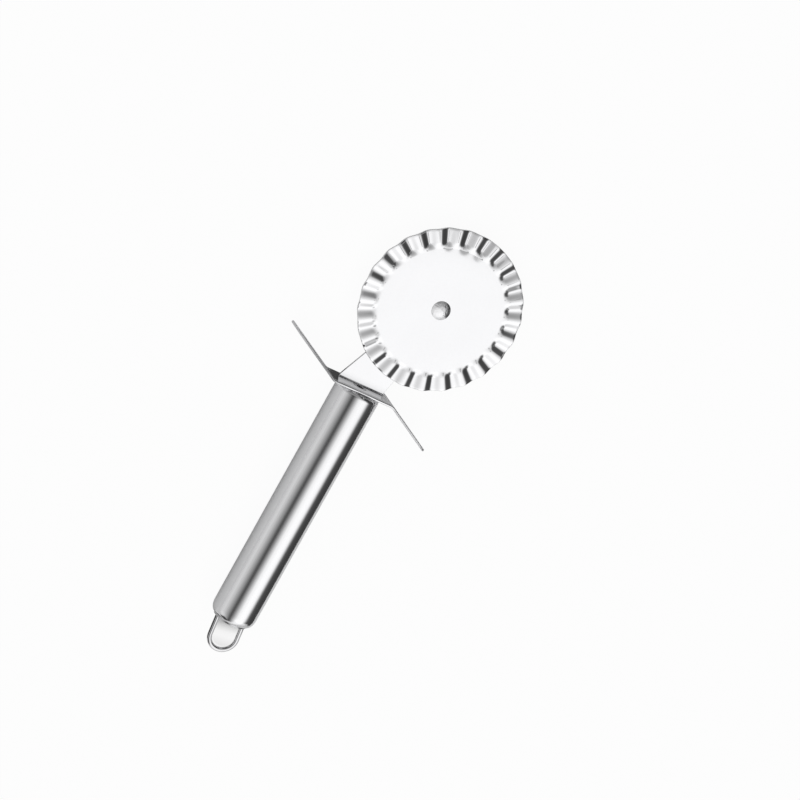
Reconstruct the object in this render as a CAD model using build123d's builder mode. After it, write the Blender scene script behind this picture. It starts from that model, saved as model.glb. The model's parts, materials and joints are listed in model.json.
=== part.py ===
from build123d import *
import os
from math import cos, pi, radians, sin, tan

# A fluted pizza wheel: a disc on a rivet, a bent sheet head and a tube handle with a wire loop.
# X runs across the handle, Y along it towards the wheel, and Z up, along the wheel's axle.
# The tool lies on its back, and the origin is halfway along the tube, on its axis.

# Handle tube, in millimetres
handle_diameter = 19.0
handle_length = 108.0
tube_wall = 0.8
end_roll_inside = 1.3
top_roll_inside = 1.0

# Plugs inside the tube
plug_clearance = 0.05
top_plug_length = 10.0
end_plug_proud = 0.15
end_plug_rim = 1.6

# Hanging loop of round wire
wire_diameter = 2.0
loop_width = 13.6
loop_reach = 14.9
loop_lean = 6.5
loop_offset = 0.25
hook_bend_radius = 1.2
hook_gap = 0.3
leg_clearance = 0.05

# Head bracket, one bent sheet
sheet = 1.0
guard_rear_reach = 8.75
guard_front_reach = 7.25
plate_length = 26.8
left_wing_length = 26.7
right_wing_length = 24.7
wing_angle = 28.0
wing_bend_radius = 5.0
wing_corner_radius = 5.0
fold_radius = 0.6
fold_setback = 4.1
relief_width = 0.12
notch_lean = 2.2
arm_left = -9.2
arm_base_width = 20.8
arm_tip_radius = 5.6

# Axle and wheel
axle_x = 14.9
axle_above_plate = 41.0
axle_diameter = 4.0
axle_press_clearance = 0.02
axle_running_clearance = 0.06
axle_end_play = 0.1
rivet_head_diameter = 7.8
rivet_head_height = 1.1
rivet_tail_diameter = 6.4
rivet_tail_height = 0.8
spacer_diameter = 10.0
wheel_diameter = 67.4
wheel_sheet = 0.9
rim_clearance = 0.4

# Flutes in the wheel's rim
flute_count = 24
flute_height = 1.2
flute_root_radius = 25.2
flute_ramp = 2.4
flute_points = 12
flute_phase = 1.3

# Bracket screw, countersunk with a hexagon socket
screw_diameter = 4.0
screw_head_diameter = 5.6
screw_length = 8.0
screw_clearance = 0.05
socket_across_flats = 3.0
socket_depth = 1.9

# Handle places
handle_radius = handle_diameter / 2
bore_radius = handle_radius - tube_wall
handle_top = handle_length / 2
handle_end = -handle_length / 2
end_roll = end_roll_inside + tube_wall
top_roll = top_roll_inside + tube_wall
end_mouth_radius = handle_radius - end_roll
top_mouth_radius = handle_radius - top_roll
end_plug_top = handle_end + end_roll + end_plug_rim

# Head places
plate_top = handle_top + sheet
guard_rear = -guard_rear_reach
guard_width = guard_rear_reach + guard_front_reach
arm_right = arm_left + arm_base_width
arm_base_y = plate_top + fold_radius
arm_rear = guard_rear + fold_setback
arm_front = arm_rear + sheet
fold_depth = fold_radius + sheet
fold_line = arm_rear + fold_depth
notch_left = arm_left - relief_width
notch_right = arm_right + relief_width
left_wing_run = left_wing_length * cos(radians(wing_angle))
left_wing_rise = left_wing_length * sin(radians(wing_angle))
right_wing_run = right_wing_length * cos(radians(wing_angle))
right_wing_rise = right_wing_length * sin(radians(wing_angle))

# Axle places
axle_y = plate_top + axle_above_plate
axle_radius = axle_diameter / 2
axle_line = Axis((axle_x, axle_y, 0), (0, 0, 1))
axle_section = Plane(origin=(axle_x, axle_y, 0), x_dir=(1, 0, 0), z_dir=(0, -1, 0))
wheel_radius = wheel_diameter / 2
wheel_z = arm_front + rim_clearance + (flute_height + wheel_sheet) / 2
wheel_back = wheel_z - wheel_sheet / 2
rivet_seat = wheel_z + wheel_sheet / 2 + axle_end_play

# The plane of the plate's upper face, looking down the handle
plate_plane = Plane(origin=(0, plate_top, 0), x_dir=(1, 0, 0), z_dir=(0, 1, 0))


# Handle tube: a straight tube whose two ends are rolled inwards
with BuildPart() as handle_tube:
    with BuildSketch(Plane.XY):
        with BuildLine():
            Line((handle_radius, handle_end + end_roll), (handle_radius, handle_top - top_roll))
            CenterArc((top_mouth_radius, handle_top - top_roll), top_roll, 0, 90)
            Line((top_mouth_radius, handle_top), (top_mouth_radius, handle_top - tube_wall))
            CenterArc((top_mouth_radius, handle_top - top_roll), top_roll_inside, 0, 90)
            Line((bore_radius, handle_top - top_roll), (bore_radius, handle_end + end_roll))
            CenterArc((end_mouth_radius, handle_end + end_roll), end_roll_inside, 270, 90)
            Line((end_mouth_radius, handle_end + tube_wall), (end_mouth_radius, handle_end))
            CenterArc((end_mouth_radius, handle_end + end_roll), end_roll, 270, 90)
        make_face()
    revolve(axis=Axis.Y)

# Top plug: a tapped steel plug caught under the rolled top of the tube, level with its mouth
with BuildPart() as top_plug:
    with BuildSketch(Plane.XY):
        plug_radius = bore_radius - plug_clearance
        neck_radius = top_mouth_radius - plug_clearance
        shoulder = handle_top - top_roll
        with BuildLine():
            Polyline(
                (0, handle_top - top_plug_length),
                (plug_radius, handle_top - top_plug_length),
                (plug_radius, shoulder),
                (neck_radius, shoulder),
                (neck_radius, handle_top),
                (0, handle_top),
                close=True,
            )
        make_face()
    revolve(axis=Axis.Y)
    with Locations(plate_plane.offset(-sheet)):
        Hole(radius=screw_diameter / 2 + screw_clearance)

# End plug: nests in the rolled lower end, stands a little proud, and has a hole for each leg of the loop
wire_radius = wire_diameter / 2
leg_x = loop_width / 2 - wire_radius
with BuildPart() as end_plug:
    with BuildSketch(Plane.XY):
        nose_radius = end_mouth_radius - plug_clearance
        nest_radius = end_roll_inside - plug_clearance
        nest_y = handle_end + end_roll
        with BuildLine():
            Polyline(
                (end_mouth_radius, nest_y - nest_radius),
                (nose_radius, nest_y - nest_radius),
                (nose_radius, handle_end - end_plug_proud),
                (0, handle_end - end_plug_proud),
                (0, end_plug_top),
                (end_mouth_radius + nest_radius, end_plug_top),
                (end_mouth_radius + nest_radius, nest_y),
            )
            CenterArc((end_mouth_radius, nest_y), nest_radius, 270, 90)
        make_face()
    revolve(axis=Axis.Y)
    with Locations(Plane(origin=(loop_offset, end_plug_top, 0), x_dir=(1, 0, 0), z_dir=(0, 1, 0))):
        with GridLocations(2 * leg_x, 0, 2, 1):
            Hole(radius=wire_radius + leg_clearance)

# Hanging loop: a bend of wire that leans a little to one side, with legs hooked behind the end plug
loop_bend_radius = leg_x * cos(radians(loop_lean))
loop_drop = loop_reach - wire_radius - loop_bend_radius
loop_bend = Vector(loop_offset + loop_drop * tan(radians(loop_lean)), handle_end - loop_drop)
loop_side = Vector(loop_bend_radius, 0).rotate(Axis.Z, loop_lean)
hook_y = end_plug_top + hook_bend_radius
hook_x = bore_radius - wire_radius - hook_gap
right_leg_x = loop_offset + leg_x
left_leg_x = loop_offset - leg_x
with BuildPart() as hanging_loop:
    with BuildLine() as loop_path:
        FilletPolyline(
            (hook_x, hook_y),
            (right_leg_x, hook_y),
            (right_leg_x, handle_end),
            loop_bend + loop_side,
            radius=hook_bend_radius,
        )
        CenterArc(loop_bend, loop_bend_radius, loop_lean, -180)
        FilletPolyline(
            loop_bend - loop_side,
            (left_leg_x, handle_end),
            (left_leg_x, hook_y),
            (-hook_x, hook_y),
            radius=hook_bend_radius,
        )
    with BuildSketch(Plane(origin=(hook_x, hook_y, 0), z_dir=(-1, 0, 0))):
        Circle(wire_radius)
    sweep()

# Head bracket: guard strip, fold and arm bent from one sheet
with BuildPart() as head_bracket:
    # The strip across the handle, with one wing bent towards the wheel and one towards the hand
    with BuildSketch(Plane.XY.offset(guard_rear)):
        with BuildLine():
            FilletPolyline(
                (-plate_length / 2 - left_wing_run, handle_top + left_wing_rise),
                (-plate_length / 2, handle_top),
                (plate_length / 2, handle_top),
                (plate_length / 2 + right_wing_run, handle_top - right_wing_rise),
                radius=wing_bend_radius,
            )
            offset(amount=sheet, side=Side.LEFT)
        make_face()
    extrude(amount=guard_width)
    for tip in (faces().sort_by(Axis.X)[0], faces().sort_by(Axis.X)[-1]):
        fillet(tip.edges().sort_by(SortBy.LENGTH)[:2], radius=wing_corner_radius)
    # The rear edge is notched as far as the fold, and the notch leans at its left like the arm's edge
    with BuildSketch(plate_plane):
        with BuildLine():
            Polyline(
                (notch_left, -fold_line),
                (notch_left, -arm_rear),
                (notch_left + notch_lean, -guard_rear),
                (notch_left + notch_lean, sheet - guard_rear),
                (notch_right, sheet - guard_rear),
                (notch_right, -fold_line),
                close=True,
            )
        make_face()
    extrude(amount=-sheet, mode=Mode.SUBTRACT)
    # The fold turns the sheet up into the arm
    with BuildSketch(Plane.YZ.offset(arm_left)):
        with BuildLine():
            fold_centre = (arm_base_y, fold_line)
            CenterArc(fold_centre, fold_depth, 180, 90)
            Line((arm_base_y, arm_rear), (arm_base_y, arm_front))
            CenterArc(fold_centre, fold_radius, 180, 90)
            Line((plate_top, fold_line), (handle_top, fold_line))
        make_face()
    extrude(amount=arm_base_width)
    # The arm tapers from the fold to a round end about the axle
    with BuildSketch(Plane.XY.offset(arm_rear)):
        with BuildLine():
            Line((arm_left, arm_base_y), (arm_right, arm_base_y))
            CenterArc((axle_x, axle_y), arm_tip_radius, 0, 360)
        make_hull()
    extrude(amount=sheet)
    with Locations((axle_x, axle_y, arm_front)):
        Hole(radius=axle_radius + axle_press_clearance, depth=2 * sheet)
    with Locations(plate_plane):
        CounterSinkHole(
            radius=screw_diameter / 2 + screw_clearance,
            counter_sink_radius=screw_head_diameter / 2 + screw_clearance,
            depth=2 * sheet,
            counter_sink_angle=90,
        )

# Bracket screw: its cone sits flush in the plate and its shank runs into the top plug
with BuildPart() as bracket_screw:
    with BuildSketch(Plane.XY):
        head_radius = screw_head_diameter / 2
        shank_radius = screw_diameter / 2
        with BuildLine():
            Polyline(
                (0, plate_top),
                (head_radius, plate_top),
                (shank_radius, plate_top - head_radius + shank_radius),
                (shank_radius, plate_top - screw_length),
                (0, plate_top - screw_length),
                close=True,
            )
        make_face()
    revolve(axis=Axis.Y)
    with BuildSketch(plate_plane):
        RegularPolygon(radius=socket_across_flats / 2, side_count=6, major_radius=False)
    extrude(amount=-socket_depth, mode=Mode.SUBTRACT)

# Axle rivet: domed head in front of the wheel, shank through wheel, spacer and arm, and upset tail
with BuildPart() as axle_rivet:
    with BuildSketch(axle_section):
        rivet_head_radius = rivet_head_diameter / 2
        rivet_tail_radius = rivet_tail_diameter / 2
        with BuildLine():
            TangentArc((0, rivet_seat + rivet_head_height), (rivet_head_radius, rivet_seat), tangent=(1, 0))
            Polyline(
                (rivet_head_radius, rivet_seat),
                (axle_radius, rivet_seat),
                (axle_radius, arm_rear),
                (rivet_tail_radius, arm_rear),
            )
            TangentArc((0, arm_rear - rivet_tail_height), (rivet_tail_radius, arm_rear), tangent=(1, 0))
            Line((0, arm_rear - rivet_tail_height), (0, rivet_seat + rivet_head_height))
        make_face()
    revolve(axis=axle_line)

# Spacer washer: holds the wheel far enough in front of the arm for the flutes to pass
with BuildPart() as spacer_washer:
    with BuildSketch(Plane.XY.offset(arm_front)):
        with Locations((axle_x, axle_y)):
            Circle(spacer_diameter / 2)
            Circle(axle_radius + axle_running_clearance, mode=Mode.SUBTRACT)
    extrude(amount=wheel_back - axle_end_play - arm_front)


def flute_wave(radius, height, level):
    """Points across one flute at a radius: one whole wave, raised to a level."""
    half_width = radius * tan(pi / flute_count)
    points = []
    for step in range(flute_points + 1):
        turn = step / flute_points - 0.5
        points.append((2 * turn * half_width, level + cos(2 * pi * turn) * height / 2))
    return points


# One flute: flat at its root, at full height after a short ramp, and cut round at the rim
flute_stations = (
    (flute_root_radius, 0),
    (flute_root_radius + flute_ramp, flute_height),
    (wheel_radius + flute_ramp, flute_height),
)
with BuildPart() as flute:
    for radius, height in flute_stations:
        upper = flute_wave(radius, height, wheel_sheet / 2)
        lower = flute_wave(radius, height, -wheel_sheet / 2)
        with BuildSketch(Plane(origin=(radius, 0, 0), x_dir=(0, 1, 0), z_dir=(1, 0, 0))):
            with BuildLine():
                Spline(upper, tangents=((1, 0), (1, 0)))
                Line(upper[-1], lower[-1])
                Spline(lower, tangents=((1, 0), (1, 0)))
                Line(lower[0], upper[0])
            make_face()
    loft(ruled=True)
    with BuildSketch(Plane.XY.offset(-flute_height - wheel_sheet)):
        Circle(wheel_radius)
    extrude(amount=2 * (flute_height + wheel_sheet), mode=Mode.INTERSECT)

# Cutting wheel: a flat disc with a ring of flutes, turning on the rivet's shank
with BuildPart() as cutting_wheel:
    with BuildSketch(Plane(origin=(axle_x, axle_y, wheel_z))):
        RegularPolygon(
            radius=flute_root_radius,
            side_count=flute_count,
            major_radius=False,
            rotation=flute_phase + 180 / flute_count,
        )
    extrude(amount=wheel_sheet / 2, both=True)
    with Locations((axle_x, axle_y, wheel_z)):
        with PolarLocations(0, flute_count, start_angle=flute_phase):
            add(flute.part)
        Hole(radius=axle_radius + axle_running_clearance, depth=2 * wheel_sheet)


pieces = {
    "handle_tube": handle_tube,
    "top_plug": top_plug,
    "end_plug": end_plug,
    "hanging_loop": hanging_loop,
    "head_bracket": head_bracket,
    "bracket_screw": bracket_screw,
    "axle_rivet": axle_rivet,
    "spacer_washer": spacer_washer,
    "cutting_wheel": cutting_wheel,
}
os.makedirs("parts", exist_ok=True)
for name, piece in pieces.items():
    piece.part.label = name
    export_step(piece.part, f"parts/{name}.step")
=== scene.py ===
import json
from math import acos, atan2, cos, hypot, pi, radians, sin, tan

import bmesh
import bpy
from mathutils import Matrix, Quaternion, Vector


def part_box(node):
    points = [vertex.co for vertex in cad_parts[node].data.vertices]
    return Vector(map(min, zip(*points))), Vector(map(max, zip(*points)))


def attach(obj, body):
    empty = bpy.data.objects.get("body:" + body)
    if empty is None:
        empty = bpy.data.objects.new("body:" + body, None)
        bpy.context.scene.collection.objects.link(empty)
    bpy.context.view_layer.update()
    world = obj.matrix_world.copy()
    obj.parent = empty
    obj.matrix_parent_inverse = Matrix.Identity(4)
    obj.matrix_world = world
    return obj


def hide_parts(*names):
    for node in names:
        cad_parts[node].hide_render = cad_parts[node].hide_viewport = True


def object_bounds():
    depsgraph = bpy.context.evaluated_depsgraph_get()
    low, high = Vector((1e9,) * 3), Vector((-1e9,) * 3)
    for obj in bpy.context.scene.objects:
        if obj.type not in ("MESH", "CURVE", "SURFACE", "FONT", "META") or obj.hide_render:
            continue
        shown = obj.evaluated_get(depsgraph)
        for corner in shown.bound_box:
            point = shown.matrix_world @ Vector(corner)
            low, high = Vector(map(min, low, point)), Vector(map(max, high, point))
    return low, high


# A fluted pizza wheel lying on its back: a disc on a rivet, a bent sheet head and a tube handle
# with a wire loop. X runs across the handle, Y along it towards the wheel, and Z up.

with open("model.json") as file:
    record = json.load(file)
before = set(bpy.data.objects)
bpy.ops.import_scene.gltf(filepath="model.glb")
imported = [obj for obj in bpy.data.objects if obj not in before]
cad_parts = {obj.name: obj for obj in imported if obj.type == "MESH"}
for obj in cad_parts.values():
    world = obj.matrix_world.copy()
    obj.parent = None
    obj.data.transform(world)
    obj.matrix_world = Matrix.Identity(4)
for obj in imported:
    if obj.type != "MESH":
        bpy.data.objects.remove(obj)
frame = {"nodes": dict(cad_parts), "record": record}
cad_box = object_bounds()
MM = 0.001

# Handle tube
tube_low, tube_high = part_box("handle_tube")
TUBE_RADIUS = tube_high.x
LIP_SETBACK = 0.5 * MM
TUBE_END = tube_low.y + LIP_SETBACK
TUBE_TOP = tube_high.y
TUBE_WALL = 0.8 * MM
END_ROLL = 2.1 * MM
END_ROLL_LENGTH = 4.0 * MM
TOP_ROLL = 1.6 * MM
TOP_ROLL_LENGTH = 1.8 * MM
ROLL_STEPS = 12
ROLL_MARGIN = 0.1 * MM
TUBE_STEPS = 144
LIP_EDGE = 0.2 * MM

# Hanging loop
loop_low, loop_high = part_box("hanging_loop")
WIRE_RADIUS = loop_high.z
LEG_SPREAD = 5.8 * MM
LOOP_OFFSET = 0.25 * MM
LEFT_LEG = LOOP_OFFSET - LEG_SPREAD
RIGHT_LEG = LOOP_OFFSET + LEG_SPREAD
HOOK_X = -loop_low.x
HOOK_BEND = 1.2 * MM
LOOP_LEAN = radians(6.5)
LOOP_RADIUS = LEG_SPREAD * cos(LOOP_LEAN)
KNEE_Y = tube_low.y
LOOP_DROP = KNEE_Y - loop_low.y - WIRE_RADIUS - LOOP_RADIUS
WIRE_SIDES = 32
HOOK_STEPS = 8
KNEE_STEPS = 2
LOOP_STEPS = 48

# Head bracket
bracket_low, bracket_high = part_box("head_bracket")
SHEET = 1.0 * MM
GUARD_EDGE = 0.42 * MM
ARM_EDGE = 0.12 * MM
HOLE_MARGIN = 0.8 * MM
HOLE_STEPS = 48
PLATE_TOP = TUBE_TOP + SHEET
GUARD_REAR = bracket_low.z
GUARD_FRONT = bracket_high.z
PLATE_LENGTH = 26.8 * MM
LEFT_WING = 26.4 * MM
RIGHT_WING = 25.1 * MM
WING_ANGLE = radians(28.0)
WING_BEND = 5.0 * MM
WING_CORNER = 5.0 * MM
WING_STEPS = 16
CORNER_STEPS = 8
BEND_LENGTH = WING_BEND * tan(WING_ANGLE / 2)
PLATE_FLAT = PLATE_LENGTH / 2 - BEND_LENGTH
FOLD_RADIUS = 0.6 * MM
FOLD_SETBACK = 4.1 * MM
EASE_ANGLE = radians(6.5)
EASE_RADIUS = 23.0 * MM
FOLD_STEPS = 10
EASE_STEPS = 12
RELIEF = 0.12 * MM
NOTCH_LEAN = 2.2 * MM
ARM_LEFT = -8.7 * MM
ARM_RIGHT = 11.6 * MM
ARM_TIP = 5.6 * MM
TIP_STEPS = 40
ARM_FRONT = GUARD_REAR + FOLD_SETBACK + SHEET
FOLD_LINE = ARM_FRONT + FOLD_RADIUS + (EASE_RADIUS - FOLD_RADIUS) * (1 - cos(EASE_ANGLE))
ARM_BASE = PLATE_TOP + FOLD_RADIUS
SCREW_HOLE = 2.85 * MM

# Wheel
wheel_low, wheel_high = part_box("cutting_wheel")
AXLE = (wheel_low + wheel_high) / 2
AXLE_HOLE = 2.06 * MM
ARM_HOLE = 2.02 * MM
WHEEL_RADIUS = (wheel_high.x - wheel_low.x) / 2
WHEEL_SHEET = 0.9 * MM
WHEEL_EDGE = 0.12 * MM
FLUTES = 24
FLUTE_PHASE = radians(1.3)
FLUTE_HEIGHT = wheel_high.z - wheel_low.z - WHEEL_SHEET
FLUTE_ROOT = 25.4 * MM
FLUTE_RAMP = 3.0 * MM
FLUTE_STEPS = 32
HUB = AXLE_HOLE + 2 * MM
RIM_ROWS = (3 * MM, 1 * MM, 0)
RAMP_STEPS = 8
DISH_START = 6.0 * MM
DISH_RISE = 0.15 * MM


# Shader maths

class Signal:
    """A shader socket: arithmetic on it adds Math nodes, and node() adds any other node to its tree."""

    def __init__(self, tree, socket=None):
        self.tree = tree
        self.socket = socket

    def node(self, kind, settings=None, inputs=None):
        made = self.tree.nodes.new(kind)
        for name, value in (settings or {}).items():
            if name == "stops":
                fill_ramp(made.color_ramp, value)
            else:
                setattr(made, name, value)
        for name, value in (inputs or {}).items():
            plug(self.tree, made.inputs[name], value)
        return Signal(self.tree, next((s for s in made.outputs if s.enabled), None))

    def out(self, name):
        return Signal(self.tree, self.socket.node.outputs[name])

    def math(self, operation, *values):
        return self.node("ShaderNodeMath", {"operation": operation}, dict(enumerate(values)))

    def ramp(self, stops):
        """The grey level of a ramp at this signal, from (place, level) pairs."""
        return self.node("ShaderNodeValToRGB", {"stops": stops}, {"Fac": self})

    def __add__(self, other):
        return self.math("ADD", self, other)

    def __sub__(self, other):
        return self.math("SUBTRACT", self, other)

    def __rsub__(self, other):
        return self.math("SUBTRACT", other, self)

    def __mul__(self, other):
        return self.math("MULTIPLY", self, other)

    def __truediv__(self, other):
        return self.math("DIVIDE", self, other)

    __radd__ = __add__
    __rmul__ = __mul__


def plug(tree, socket, value):
    """Links a signal to a socket, or sets a plain value on it."""
    if isinstance(value, Signal):
        tree.links.new(value.socket, socket)
    else:
        socket.default_value = value


def fill_ramp(ramp, stops):
    """Gives a colour ramp its grey stops, as (place, level) pairs from left to right."""
    while len(ramp.elements) < len(stops):
        ramp.elements.new(1.0)
    for element, (place, level) in zip(ramp.elements, stops):
        element.position = place
        element.color = (level, level, level, 1.0)


# Finishes

def over(signal, stops):
    """A ramp over a coordinate in millimetres."""
    first, last = stops[0][0], stops[-1][0]
    place = (signal / MM - first) / (last - first)
    return place.ramp([((at - first) / (last - first), level) for at, level in stops])


CUT_COLOUR = (0.70, 0.70, 0.71, 1.0)
CUT_ROUGHNESS = 0.55
CUT_EDGE = ((0.74, 0.0), (0.84, 1.0))
CUT_START = ((0.36, 0.0), (0.44, 1.0))


def guard_cut(axes):
    """Where the guards have their sheared edges, round their corners too, which are duller than the sheet."""
    half = (bracket_high - bracket_low) / 2 / MM
    out_x, out_z = (
        axes.math("ABSOLUTE", (axes.out(side) - (low + high) / 2) / MM)
        for side, low, high in (("X", bracket_low.x, bracket_high.x), ("Z", GUARD_REAR, GUARD_FRONT))
    )
    corner = WING_CORNER / MM
    past_x = axes.math("MAXIMUM", out_x - (half.x - corner), 0.0)
    past_z = axes.math("MAXIMUM", out_z - (half.z - corner), 0.0)
    edge = axes.math("SQRT", past_x * past_x + past_z * past_z)
    return (edge / corner).ramp(CUT_EDGE) * (out_x / half.x).ramp(CUT_START)


def blended(start, share, first, second):
    """A colour part of the way from one to another."""
    mix = start.node("ShaderNodeMix", {"data_type": "RGBA"}, {"Factor": share, 6: first, 7: second})
    return mix.out("Result")


WORN_TONE = 0.95


def steel(name, colour, roughness, grain_scale, grain_depth, smudge_scale, cut=None):
    """A bright steel: drawn or rubbed grain and faint smudges vary its tone, its gloss and its surface."""
    material = bpy.data.materials.new(name)
    material.use_nodes = True
    tree = material.node_tree
    shader = tree.nodes["Principled BSDF"]
    shader.inputs["Metallic"].default_value = 1.0
    start = Signal(tree)
    place = start.node("ShaderNodeTexCoord").out("Object")
    drawn = start.node("ShaderNodeMapping", inputs={"Vector": place, "Scale": grain_scale})
    grain = start.node("ShaderNodeTexNoise", inputs={"Vector": drawn, "Scale": 1.0, "Detail": 3.0})
    smudge = start.node("ShaderNodeTexNoise", inputs={"Vector": place, "Scale": smudge_scale, "Detail": 2.0})
    worn = [part * WORN_TONE for part in colour]
    tone = blended(start, grain * 0.5 + smudge * 0.5, [*worn, 1.0], [*colour, 1.0])
    gloss = roughness * (0.7 + grain * 0.3 + smudge * 0.3)
    bump = start.node("ShaderNodeBump", inputs={"Height": grain, "Strength": 1.0, "Distance": grain_depth})
    if cut:
        dull = cut(start.node("ShaderNodeSeparateXYZ", inputs={"Vector": place}))
        tone = blended(start, dull, tone, CUT_COLOUR)
        gloss = gloss + dull * (CUT_ROUGHNESS - gloss)
    plug(tree, shader.inputs["Base Color"], tone)
    plug(tree, shader.inputs["Roughness"], gloss)
    plug(tree, shader.inputs["Normal"], bump)
    return material


# Colour, roughness, scale and depth of the grain, and scale of the smudges
FINISHES = {
    "brushed_tube": steel("brushed_tube", (0.80, 0.80, 0.81), 0.11, (1500.0, 25.0, 1500.0), 0.4e-6, 60.0),
    "polished_sheet": steel("polished_sheet", (0.80, 0.80, 0.81), 0.06, (700.0, 700.0, 700.0), 0.1e-6, 90.0),
    "guard_sheet": steel(
        "guard_sheet", (0.80, 0.80, 0.81), 0.06, (700.0, 700.0, 700.0), 0.1e-6, 90.0, guard_cut
    ),
    "polished_rivet": steel("polished_rivet", (0.76, 0.76, 0.77), 0.22, (340.0, 410.0, 300.0), 350e-6, 300.0),
    "bright_wire": steel("bright_wire", (0.72, 0.72, 0.73), 0.10, (900.0, 900.0, 900.0), 0.3e-6, 200.0),
    "turned_steel": steel("turned_steel", (0.55, 0.55, 0.56), 0.22, (120.0, 2500.0, 120.0), 1e-6, 150.0),
}


# Pieces

WELD = 1e-6
SHARP_ANGLE = radians(50)
FLAT_WEIGHT = 90


def finished(bm, name, body, node, slot, finish=None):
    """Makes a mesh an object in place of a CAD node, riding on its body in its slot's finish or another."""
    mesh = bpy.data.meshes.new(name)
    bm.to_mesh(mesh)
    bm.free()
    mesh.shade_smooth()
    mesh.materials.append(FINISHES[finish or slot])
    piece = bpy.data.objects.new(name, mesh)
    bpy.context.scene.collection.objects.link(piece)
    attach(piece, body)
    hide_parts(node)
    return piece


def thicken(piece, thickness, side):
    """Gives a sheet its thickness: side is -1 for behind its face and 0 for both ways."""
    wall = piece.modifiers.new("thickness", "SOLIDIFY")
    wall.thickness = thickness
    wall.offset = side
    wall.use_even_offset = True


def round_edges(piece, width, segments, limit="ANGLE"):
    """Rubs the sharp or weighted edges of a piece round and keeps its flat faces flat."""
    edge = piece.modifiers.new("rounded_edges", "BEVEL")
    edge.width = width
    edge.segments = segments
    edge.limit_method = limit
    edge.angle_limit = SHARP_ANGLE
    edge.use_clamp_overlap = False
    flats = piece.modifiers.new("flat_faces", "WEIGHTED_NORMAL")
    flats.weight = FLAT_WEIGHT


def chain(bm, points, closed=False):
    """Vertices at these points, joined in a row by edges."""
    corners = [bm.verts.new(point) for point in points]
    ends = corners[1:] + corners[:1] if closed else corners[1:]
    edges = [bm.edges.new(pair) for pair in zip(corners, ends)]
    return corners, edges


def ring(bm, centre, axis, radius, segments):
    """A circle of edges about an axis through a point."""
    turned = Vector((0, 0, 1)).rotation_difference(Vector(axis)).to_matrix().to_4x4()
    made = bmesh.ops.create_circle(
        bm, cap_ends=False, radius=radius, segments=segments, matrix=Matrix.Translation(centre) @ turned
    )
    return list({edge for vert in made["verts"] for edge in vert.link_edges})


def hole(bm, centre, axis, radius, segments):
    """A round hole with a band of faces about it, and the outer ring of edges to fill the sheet up to."""
    outer = ring(bm, centre, axis, radius + HOLE_MARGIN, segments)
    made = bmesh.ops.extrude_edge_only(bm, edges=outer)["geom"]
    bmesh.ops.scale(
        bm,
        verts=[part for part in made if isinstance(part, bmesh.types.BMVert)],
        vec=Vector((1, 1, 1)) * radius / (radius + HOLE_MARGIN),
        space=Matrix.Translation(-Vector(centre)),
    )
    return outer


def middle(edges):
    """The middle of a ring of edges."""
    verts = {vert for edge in edges for vert in edge.verts}
    return sum((vert.co for vert in verts), Vector()) / len(verts)


def swept(bm, edges, centre, axis, angle, steps):
    """Turns a row of edges about an axis and returns the edges that it ends in."""
    verts = list({vert for edge in edges for vert in edge.verts})
    made = bmesh.ops.spin(
        bm, geom=verts + list(edges), cent=centre, axis=axis, angle=angle, steps=steps, use_merge=False
    )
    return [part for part in made["geom_last"] if isinstance(part, bmesh.types.BMEdge)]


def drawn(bm, edges, move):
    """Extrudes a row of edges straight along a vector and returns the edges that it ends in."""
    made = bmesh.ops.extrude_edge_only(bm, edges=edges)["geom"]
    verts = [part for part in made if isinstance(part, bmesh.types.BMVert)]
    bmesh.ops.translate(bm, verts=verts, vec=move)
    return [
        part for part in made
        if isinstance(part, bmesh.types.BMEdge) and all(vert in verts for vert in part.verts)
    ]


def lathe(bm, axis, steps):
    """Turns everything in the mesh once round an axis through the origin and closes the seam."""
    shape = bm.verts[:] + bm.edges[:]
    bmesh.ops.spin(bm, geom=shape, cent=(0, 0, 0), axis=axis, angle=2 * pi, steps=steps, use_merge=True)
    bmesh.ops.remove_doubles(bm, verts=bm.verts, dist=WELD)
    bmesh.ops.recalc_face_normals(bm, faces=bm.faces)


def handle_tube():
    """The handle: a long tube with both ends rolled inwards."""
    bm = bmesh.new()
    corners, _ = chain(bm, (
        (TUBE_RADIUS - TOP_ROLL - ROLL_MARGIN, TUBE_TOP, 0),
        (TUBE_RADIUS, TUBE_TOP, 0),
        (TUBE_RADIUS, TUBE_END, 0),
        (TUBE_RADIUS - END_ROLL - ROLL_MARGIN, TUBE_END, 0),
    ))
    for corner, roll in ((corners[1], TOP_ROLL), (corners[2], END_ROLL)):
        bmesh.ops.bevel(
            bm, geom=[corner], offset=roll, affect="VERTICES", segments=ROLL_STEPS, profile=0.5, material=-1
        )
    for end, roll, length in ((TUBE_TOP, TOP_ROLL, TOP_ROLL_LENGTH), (TUBE_END, END_ROLL, END_ROLL_LENGTH)):
        bmesh.ops.scale(
            bm,
            verts=[vert for vert in bm.verts if abs(vert.co.y - end) < roll + ROLL_MARGIN],
            vec=(1, length / roll, 1),
            space=Matrix.Translation((0, -end, 0)),
        )
    lathe(bm, (0, 1, 0), TUBE_STEPS)
    for place in (TUBE_TOP - TOP_ROLL_LENGTH - ROLL_MARGIN, TUBE_END + END_ROLL_LENGTH + ROLL_MARGIN):
        bmesh.ops.bisect_plane(
            bm, geom=bm.verts[:] + bm.edges[:] + bm.faces[:], plane_co=(0, place, 0), plane_no=(0, 1, 0)
        )
    piece = finished(bm, "handle_tube_rolled", "tool", "handle_tube", "brushed_tube")
    thicken(piece, TUBE_WALL, -1)
    round_edges(piece, LIP_EDGE, 3)


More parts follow.
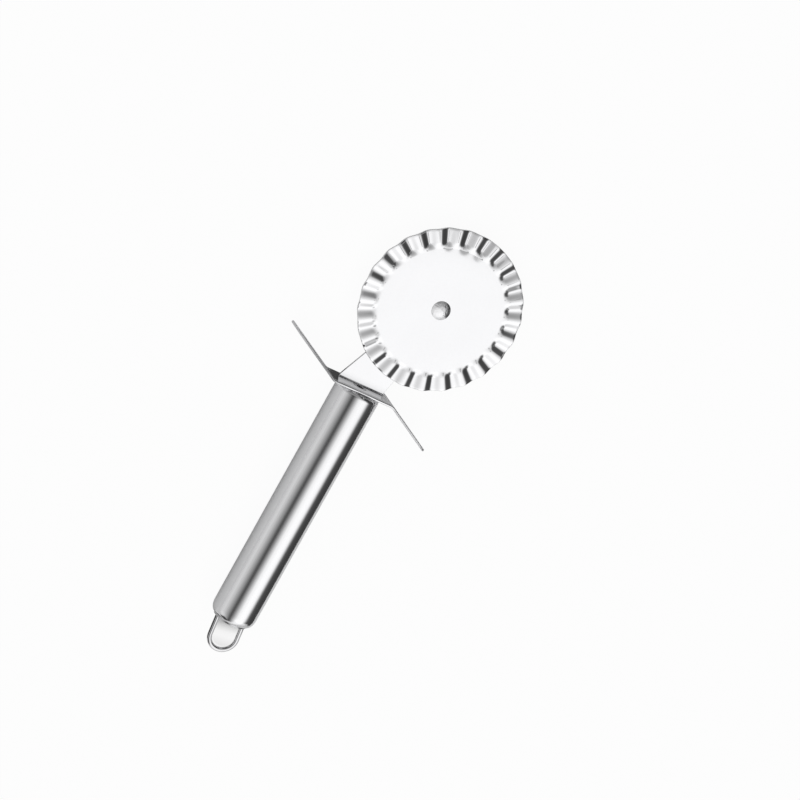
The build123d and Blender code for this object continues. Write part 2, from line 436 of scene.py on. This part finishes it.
def hanging_loop():
    """The loop: round wire bent back on itself, with a hook at the end of each leg."""
    bm = bmesh.new()
    leg_top = loop_high.y - WIRE_RADIUS - HOOK_BEND
    bend = Vector((LOOP_OFFSET + LOOP_DROP * tan(LOOP_LEAN), KNEE_Y - LOOP_DROP, 0))
    across = Vector((cos(LOOP_LEAN), sin(LOOP_LEAN), 0))
    right_bend = Vector((RIGHT_LEG + HOOK_BEND, KNEE_Y, 0))
    left_bend = Vector((LEFT_LEG + HOOK_BEND, KNEE_Y, 0))
    up = Vector((0, leg_top - KNEE_Y, 0))
    rim = ring(bm, (HOOK_X, leg_top + HOOK_BEND, 0), (1, 0, 0), WIRE_RADIUS, WIRE_SIDES)
    rim = drawn(bm, rim, (right_bend.x - HOOK_X, 0, 0))
    rim = swept(bm, rim, right_bend + up, (0, 0, 1), pi / 2, HOOK_STEPS)
    rim = drawn(bm, rim, -up)
    rim = swept(bm, rim, right_bend, (0, 0, 1), LOOP_LEAN, KNEE_STEPS)
    rim = drawn(bm, rim, bend + across * LOOP_RADIUS - middle(rim))
    rim = swept(bm, rim, bend, (0, 0, 1), -pi, LOOP_STEPS)
    rim = drawn(bm, rim, left_bend - across * HOOK_BEND - middle(rim))
    rim = swept(bm, rim, left_bend, (0, 0, 1), -LOOP_LEAN, KNEE_STEPS)
    rim = drawn(bm, rim, up)
    rim = swept(bm, rim, (LEFT_LEG - HOOK_BEND, leg_top, 0), (0, 0, 1), pi / 2, HOOK_STEPS)
    drawn(bm, rim, (HOOK_BEND - LEFT_LEG - HOOK_X, 0, 0))
    bmesh.ops.remove_doubles(bm, verts=bm.verts, dist=WELD)
    bmesh.ops.holes_fill(bm, edges=[edge for edge in bm.edges if edge.is_boundary], sides=WIRE_SIDES)
    bmesh.ops.recalc_face_normals(bm, faces=bm.faces)
    piece = finished(bm, "hanging_loop_wire", "tool", "hanging_loop", "bright_wire")
    round_edges(piece, LIP_EDGE, 3)


def arm_edge(foot_x, side):
    """A straight edge of the arm from its foot: where and at what angle it meets the tip, and its lean."""
    reach = Vector((foot_x - AXLE.x, ARM_BASE - AXLE.y))
    angle = atan2(reach.y, reach.x) + side * acos(ARM_TIP / reach.length)
    place = Vector((AXLE.x + ARM_TIP * cos(angle), AXLE.y + ARM_TIP * sin(angle), ARM_FRONT))
    return place, angle, (place.x - foot_x) / (place.y - ARM_BASE)


def head_bracket():
    """The head: a plate with two bent guards and a folded-up arm, all one rounded sheet."""
    bm = bmesh.new()
    notch_left = ARM_LEFT - RELIEF
    notch_right = ARM_RIGHT + RELIEF
    outline = (
        (-PLATE_FLAT, GUARD_REAR),
        (notch_left + NOTCH_LEAN, GUARD_REAR), (notch_left, ARM_FRONT - SHEET), (notch_left, FOLD_LINE),
        (ARM_LEFT, FOLD_LINE), (ARM_RIGHT, FOLD_LINE),
        (notch_right, FOLD_LINE), (notch_right, GUARD_REAR),
        (PLATE_FLAT, GUARD_REAR), (PLATE_FLAT, GUARD_FRONT), (-PLATE_FLAT, GUARD_FRONT),
    )
    _, rim = chain(bm, [(x, PLATE_TOP, z) for x, z in outline], closed=True)
    fold, right_end, left_end = rim[4], rim[8], rim[10]
    screw_hole = ring(bm, (0, PLATE_TOP, 0), (0, 1, 0), SCREW_HOLE, HOLE_STEPS)
    bmesh.ops.triangle_fill(bm, edges=rim + screw_hole, use_beauty=True)

    wings = ((-1, left_end, WING_BEND - SHEET, LEFT_WING), (1, right_end, WING_BEND + SHEET, RIGHT_WING))
    for side, end, bend, length in wings:
        pivot = (side * PLATE_FLAT, PLATE_TOP - side * bend, 0)
        root = swept(bm, [end], pivot, (0, 0, 1), -WING_ANGLE, WING_STEPS)
        away = Vector((side * cos(WING_ANGLE), -side * sin(WING_ANGLE), 0)) * (length - BEND_LENGTH)
        tip = drawn(bm, root, away)
        bmesh.ops.bevel(
            bm, geom=list(tip[0].verts), offset=WING_CORNER, affect="VERTICES",
            segments=CORNER_STEPS, profile=0.5, material=-1,
        )

    # The fold is tight at the plate and eases into the arm, whose edges already lean there
    base = swept(bm, [fold], (0, ARM_BASE, FOLD_LINE), (1, 0, 0), pi / 2 - EASE_ANGLE, FOLD_STEPS)
    ease = Vector((0, sin(EASE_ANGLE), cos(EASE_ANGLE))) * (EASE_RADIUS - FOLD_RADIUS)
    base = swept(bm, base, Vector((0, ARM_BASE, FOLD_LINE)) + ease, (1, 0, 0), EASE_ANGLE, EASE_STEPS)
    first_place, start, left_lean = arm_edge(ARM_LEFT, -1)
    last_place, finish, right_lean = arm_edge(ARM_RIGHT, 1)
    for vert in bm.verts:
        rise = vert.co.y - ARM_BASE
        if rise > 0 and abs(vert.co.x) < PLATE_FLAT:
            vert.co.x += rise * (left_lean if vert.co.x < 0 else right_lean)
    left_foot, right_foot = sorted(base[0].verts, key=lambda vert: vert.co.x)
    centre = Vector((AXLE.x, AXLE.y, ARM_FRONT))
    first = bm.verts.new(first_place)
    sweep = (finish - start) % (2 * pi) - 2 * pi
    made = bmesh.ops.spin(bm, geom=[first], cent=centre, axis=(0, 0, 1), angle=sweep, steps=TIP_STEPS)
    last = next(part for part in made["geom_last"] if isinstance(part, bmesh.types.BMVert))
    arc = [edge for edge in bm.edges if edge.is_wire]
    sides = [bm.edges.new((left_foot, first)), bm.edges.new((right_foot, last))]
    axle_hole = hole(bm, centre, (0, 0, 1), ARM_HOLE, HOLE_STEPS)
    bmesh.ops.triangle_fill(bm, edges=base + arc + sides + axle_hole, use_beauty=True)

    bmesh.ops.remove_doubles(bm, verts=bm.verts, dist=WELD)
    bmesh.ops.recalc_face_normals(bm, faces=bm.faces)
    plate = max(bm.faces, key=lambda face: abs(face.normal.y))
    if plate.normal.y < 0:
        bmesh.ops.reverse_faces(bm, faces=bm.faces)
    roundness = bm.edges.layers.float.new("bevel_weight_edge")
    for edge in bm.edges:
        x, y, z = (edge.verts[0].co + edge.verts[1].co) / 2
        arm = y > PLATE_TOP + ARM_EDGE and x > ARM_LEFT - SHEET
        notch = abs(x) < PLATE_FLAT and z < GUARD_FRONT - ARM_EDGE
        if edge.is_boundary:
            edge[roundness] = ARM_EDGE / GUARD_EDGE if arm or notch else 1.0
    piece = finished(bm, "head_bracket_sheet", "tool", "head_bracket", "polished_sheet", "guard_sheet")
    thicken(piece, SHEET, -1)
    round_edges(piece, GUARD_EDGE, 4, "WEIGHT")


def eased(share):
    """A share from 0 to 1 with a soft start and end."""
    share = min(max(share, 0), 1)
    return share * share * (3 - 2 * share)


def cutting_wheel():
    """The wheel: a faintly dished disc whose rim is pressed into a ring of waves, mostly downwards."""
    bm = bmesh.new()
    reaches = [AXLE_HOLE, HUB]
    reaches += [DISH_START + (FLUTE_ROOT - DISH_START) * step / RAMP_STEPS for step in range(RAMP_STEPS)]
    reaches += [FLUTE_ROOT + FLUTE_RAMP * step / RAMP_STEPS for step in range(RAMP_STEPS + 1)]
    reaches += [WHEEL_RADIUS - row for row in RIM_ROWS]
    chain(bm, [(reach, 0, 0) for reach in reaches])
    lathe(bm, (0, 0, 1), FLUTES * FLUTE_STEPS)
    for vert in bm.verts:
        reach = hypot(vert.co.x, vert.co.y)
        dish = DISH_RISE * eased((reach - DISH_START) / (FLUTE_ROOT - DISH_START))
        wave = FLUTE_HEIGHT / 2 * cos(FLUTES * (atan2(vert.co.y, vert.co.x) - FLUTE_PHASE))
        vert.co.z = dish + (wave - dish) * eased((reach - FLUTE_ROOT) / FLUTE_RAMP)
    bmesh.ops.translate(bm, verts=bm.verts, vec=AXLE)
    piece = finished(bm, "cutting_wheel_fluted", "wheel", "cutting_wheel", "polished_sheet")
    thicken(piece, WHEEL_SHEET, 0)
    round_edges(piece, WHEEL_EDGE, 2)


# Studio

def light_tent():
    """Soft studio light: a white box over the handle's side, dimmer past the wheel and dark at the right."""
    world = bpy.data.worlds.new("light_tent")
    bpy.context.scene.world = world
    world.use_nodes = True
    tree = world.node_tree
    start = Signal(tree)
    direction = start.node("ShaderNodeTexCoord").out("Generated")
    axes = start.node("ShaderNodeSeparateXYZ", inputs={"Vector": direction})
    lean = start.math("ARCTAN2", axes.out("X"), axes.out("Z")) / (2 * pi) + 0.5
    along = axes.out("Y") * 0.5 + 0.5
    # Turns about the handle are in degrees, and reaches along it run from -1 to 1
    box = (
        (-180, 0.8), (-90, 0.72), (-73, 0.79), (-45, 0.80), (-24, 0.85), (-16, 0.95),
        (-8, 1.05), (0, 1.12), (8, 1.18), (16, 1.20), (25, 1.25), (32, 1.24), (41, 1.20),
        (50, 1.06), (60, 0.80), (100, 0.76), (180, 0.8),
    )
    box_reach = (
        (-1.0, 0.8), (-0.8, 0.93), (-0.6, 1.13), (-0.4, 1.05), (-0.2, 0.99), (-0.1, 0.955),
        (0.0, 0.84), (0.1, 0.77), (0.2, 0.695), (0.3, 0.61), (0.4, 0.495), (0.5, 0.425),
        (0.6, 0.37), (0.7, 0.3),
    )
    gap = ((41, 0.0), (47, 0.05), (53, 0.3), (59, 0.65), (65, 0.88), (80, 0.92), (100, 0.92), (180, 0.0))
    gap_reach = ((-0.57, 0.0), (-0.465, 1.0), (0.0, 1.0), (0.15, 0.975), (0.3, 0.97), (0.5, 0.92))
    gap_turn = ((-0.15, 0), (0.0, 8), (0.15, 12), (0.3, 17), (0.4, 26), (0.5, 34), (0.6, 38), (1.0, 40))

    def turned(angle, stops):
        return angle.ramp([(at / 360 + 0.5, level) for at, level in stops])

    def reach(stops):
        return along.ramp([(0.5 + y / 2, share) for y, share in stops])

    gap_lean = lean + reach([(y, turn / 360) for y, turn in gap_turn])
    level = turned(lean, box) * reach(box_reach) * (1 - turned(gap_lean, gap) * reach(gap_reach))
    plug(tree, tree.nodes["Background"].inputs["Color"], level)


def studio_material(name):
    """A bare material for the studio's own surfaces, and a signal to build it from."""
    material = bpy.data.materials.new(name)
    material.use_nodes = True
    material.node_tree.nodes.remove(material.node_tree.nodes["Principled BSDF"])
    return material, Signal(material.node_tree)


FLOOR_RADIUS = 4.0
FLOOR_SIDES = 96
PAPER_TONE = 0.9
WHITE_SHARE = 0.95
MIRRORED_SHARE = 0.08
SHADED_TONE = 0.5
LOOP_EDGE = ((5.1, 1.0), (6.3, 0.0))
LOOP_FLOOR = Vector((5.3, -64.3)) * MM
LOOP_SHADE = ((-6.5, 0.45), (-4, 0.30), (-1, 0.12), (1, 0.16), (3, 0.45), (5, 0.80), (11, 0.50), (20, 0.0))


def studio_floor():
    """A white floor under the tool: it keeps a faint shadow, and a shade is painted inside the loop."""
    under = (0, 0, cad_box[0].z)
    bpy.ops.mesh.primitive_circle_add(
        vertices=FLOOR_SIDES, radius=FLOOR_RADIUS, fill_type="NGON", location=under
    )
    floor = bpy.context.object
    floor.name = "studio_floor"
    material, start = studio_material("white_floor")
    white = start.node("ShaderNodeEmission", inputs={"Color": (1.0, 1.0, 1.0, 1.0), "Strength": 1.0})
    path = start.node("ShaderNodeLightPath")
    place = start.node("ShaderNodeTexCoord").out("Object")
    turned = start.node(
        "ShaderNodeMapping", {"vector_type": "TEXTURE"},
        {"Vector": place, "Location": (*LOOP_FLOOR, 0), "Rotation": (0, 0, LOOP_LEAN)},
    )
    axes = start.node("ShaderNodeSeparateXYZ", inputs={"Vector": turned})
    below = start.math("MINIMUM", axes.out("Y"), 0.0)
    apart = start.math("SQRT", axes.out("X") * axes.out("X") + below * below)
    shade = over(apart, LOOP_EDGE) * over(axes.out("Y"), LOOP_SHADE)
    paper, shaded = (
        start.node("ShaderNodeBsdfDiffuse", inputs={"Color": (tone, tone, tone, 1.0)})
        for tone in (PAPER_TONE, SHADED_TONE)
    )
    ground = start.node("ShaderNodeMixShader", inputs={0: shade, 1: paper, 2: shaded})
    seen = path.out("Is Camera Ray") * (WHITE_SHARE - shade)
    seen = seen + (path.out("Is Glossy Ray") + path.out("Is Transmission Ray")) * MIRRORED_SHARE
    mixed = start.node("ShaderNodeMixShader", inputs={0: seen, 1: ground, 2: white})
    plug(start.tree, start.tree.nodes["Material Output"].inputs["Surface"], mixed)
    floor.data.materials.append(material)


def studio_card(name, corner, side, other, tone, cover):
    """A grey card that only reflections show, a painted reflection: cover makes its density from its object
    coordinates.
    """
    corner, side, other = (Vector(part) * MM for part in (corner, side, other))
    placed = Matrix((side, other, side.cross(other))).transposed().to_4x4()
    placed.translation = corner + (side + other) / 2
    bm = bmesh.new()
    bmesh.ops.create_grid(bm, x_segments=1, y_segments=1, size=0.5, matrix=placed)
    mesh = bpy.data.meshes.new(name)
    bm.to_mesh(mesh)
    bm.free()
    card = bpy.data.objects.new(name, mesh)
    bpy.context.scene.collection.objects.link(card)
    material, start = studio_material(name)
    place = start.node("ShaderNodeTexCoord").out("Object")
    axes = start.node("ShaderNodeSeparateXYZ", inputs={"Vector": place})
    glass = start.node("ShaderNodeBsdfTransparent")
    paint = start.node("ShaderNodeEmission", inputs={"Color": (tone, tone, tone, 1.0), "Strength": 1.0})
    mixed = start.node("ShaderNodeMixShader", inputs={0: cover(axes), 1: glass, 2: paint})
    plug(start.tree, start.tree.nodes["Material Output"].inputs["Surface"], mixed)
    mesh.materials.append(material)
    for ray in ("camera", "diffuse", "transmission", "volume_scatter", "shadow"):
        setattr(card, f"visible_{ray}", False)


DARK = 0.05
FOLD_SLOPE = 0.229


def shade_cards():
    """Painted reflections: cards that only the metal mirrors, dark ones for painted shade and pale ones for
    painted light, about the handle, the loop, the head and the wheel.
    """
    stripe = (
        (-70, 0.0), (-41, 0.17), (-28.4, 0.42), (-20.8, 0.65), (-15.2, 0.90), (-12.9, 0.96), (-10.8, 0.91),
        (-6.9, 0.66), (-3.4, 0.37), (0.1, 0.07), (3.7, 0.0),
    )
    length = ((-125, 0.0), (-110, 1.0), (58, 1.0), (64, 0.0))
    handle_fade = ((-60, 0.0), (-34, 0.08), (-20, 0.17), (-13.5, 0.29), (-9, 0.35))
    fold_width = ((25.5, 0), (27.5, 1), (35, 1), (37, 0))
    wheel_fade = ((108, 0.0), (115, 0.2), (124, 0.28), (138, 0.28), (142, 0.0))
    studio_card("stripe_card", (-72, -126, 25), (77, 0, 0), (0, 191, 0), DARK,
                lambda axes: over(axes.out("X"), stripe) * over(axes.out("Y"), length))
    studio_card("side_card", (55, -130, -9.4), (0, 180, 0), (0, 0, 20.4), DARK,
                lambda axes: over(axes.out("Y"), ((40, 0.98), (50, 0.0))))
    # Painted shadow: a dark sheet on the floor beside the handle, where the floor lies in the tube's shade,
    # seen only in reflections
    studio_card("handle_shade", (-62, -66, -9.4), (54, 0, 0), (0, 118, 0), DARK,
                lambda axes: over(axes.out("X"), handle_fade))
    studio_card("end_card", (-95, -160, -9.4), (80, 0, 0), (0, 0, 60), DARK,
                lambda axes: over(axes.out("X"), ((-95, 0.0), (-85, 0.95), (-25, 0.95), (-15, 0.0))))
    studio_card("loop_card", (-9.5, -72, -9.4), (0, 17, 0), (0, 0, 12.4), DARK,
                lambda axes: over(axes.out("Y"), ((-56.5, 0.97), (-55.5, 0.0))))
    # Painted light: a pale card that the loop's wire mirrors
    studio_card("loop_light", (18, -90, -9.4), (0, 32, 0), (0, 0, 22), 0.6,
                lambda axes: over(axes.out("Y"), ((-62, 0.97), (-58.5, 0.0))))
    # Painted shadow: a dark sheet on the floor under the arm and the wheel, seen only in reflections
    studio_card("head_shade", (-15, 51, -9.4), (30, 0, 0), (0, 10, 0), DARK,
                lambda axes: over(axes.out("X"), ((-14, 0.0), (-10, 0.95), (9, 0.95), (14, 0.0)))
                * over(axes.out("Y"), ((59, 1.0), (60.5, 0.0))))
    # Painted light: a pale card that lightens the fold's reflection
    studio_card("fold_light", (28, 150, 20), (48, 0, 0), (0, 0, 100), 0.45,
                lambda axes: over(axes.out("X") - axes.out("Z") * FOLD_SLOPE, fold_width))
    studio_card("rim_shade", (60, 95, 0.5), (0, 8, 0), (0, 0, 11), 0.36,
                lambda axes: over(axes.out("Y"), ((95, 0.0), (96.5, 0.95), (101.5, 0.95), (103, 0.0))))
    studio_card("wheel_shade", (-20, 108, 40), (32, 0, 0), (0, 34, 0), DARK,
                lambda axes: over(axes.out("Y"), wheel_fade))
    studio_card("plate_shade", (63, 92, 168), (28, 0, 0), (0, 28, 0), 0.45,
                lambda axes: over(axes.out("Y"), ((92, 0.0), (95, 0.95), (112, 0.95), (120, 0.0))))


def camera():
    """The photograph's view: from above the wheel's left, rolled so that the handle points down left."""
    aim = Vector((17.6, 56.86, 0.0)) * MM
    distance = 995.2 * MM
    azimuth = radians(-117.8)
    elevation = radians(64.1)
    roll = radians(144.8)
    back = Vector((sin(azimuth) * cos(elevation), -cos(azimuth) * cos(elevation), sin(elevation)))
    lens = bpy.data.cameras.new("camera")
    lens.lens = 113.3
    lens.sensor_width = 36.0
    eye = bpy.data.objects.new("camera", lens)
    bpy.context.scene.collection.objects.link(eye)
    eye.rotation_mode = "QUATERNION"
    eye.location = aim + back * distance
    eye.rotation_quaternion = (-back).to_track_quat("-Z", "Y") @ Quaternion((0, 0, 1), roll)
    bpy.context.scene.camera = eye


for part in frame["record"]["subparts"]:
    frame["nodes"][part["node"]].material_slots[0].material = FINISHES[part["material_slot"]]
handle_tube()
hanging_loop()
head_bracket()
cutting_wheel()
light_tent()
studio_floor()
shade_cards()
camera()
bpy.context.scene.view_settings.view_transform = "Standard"
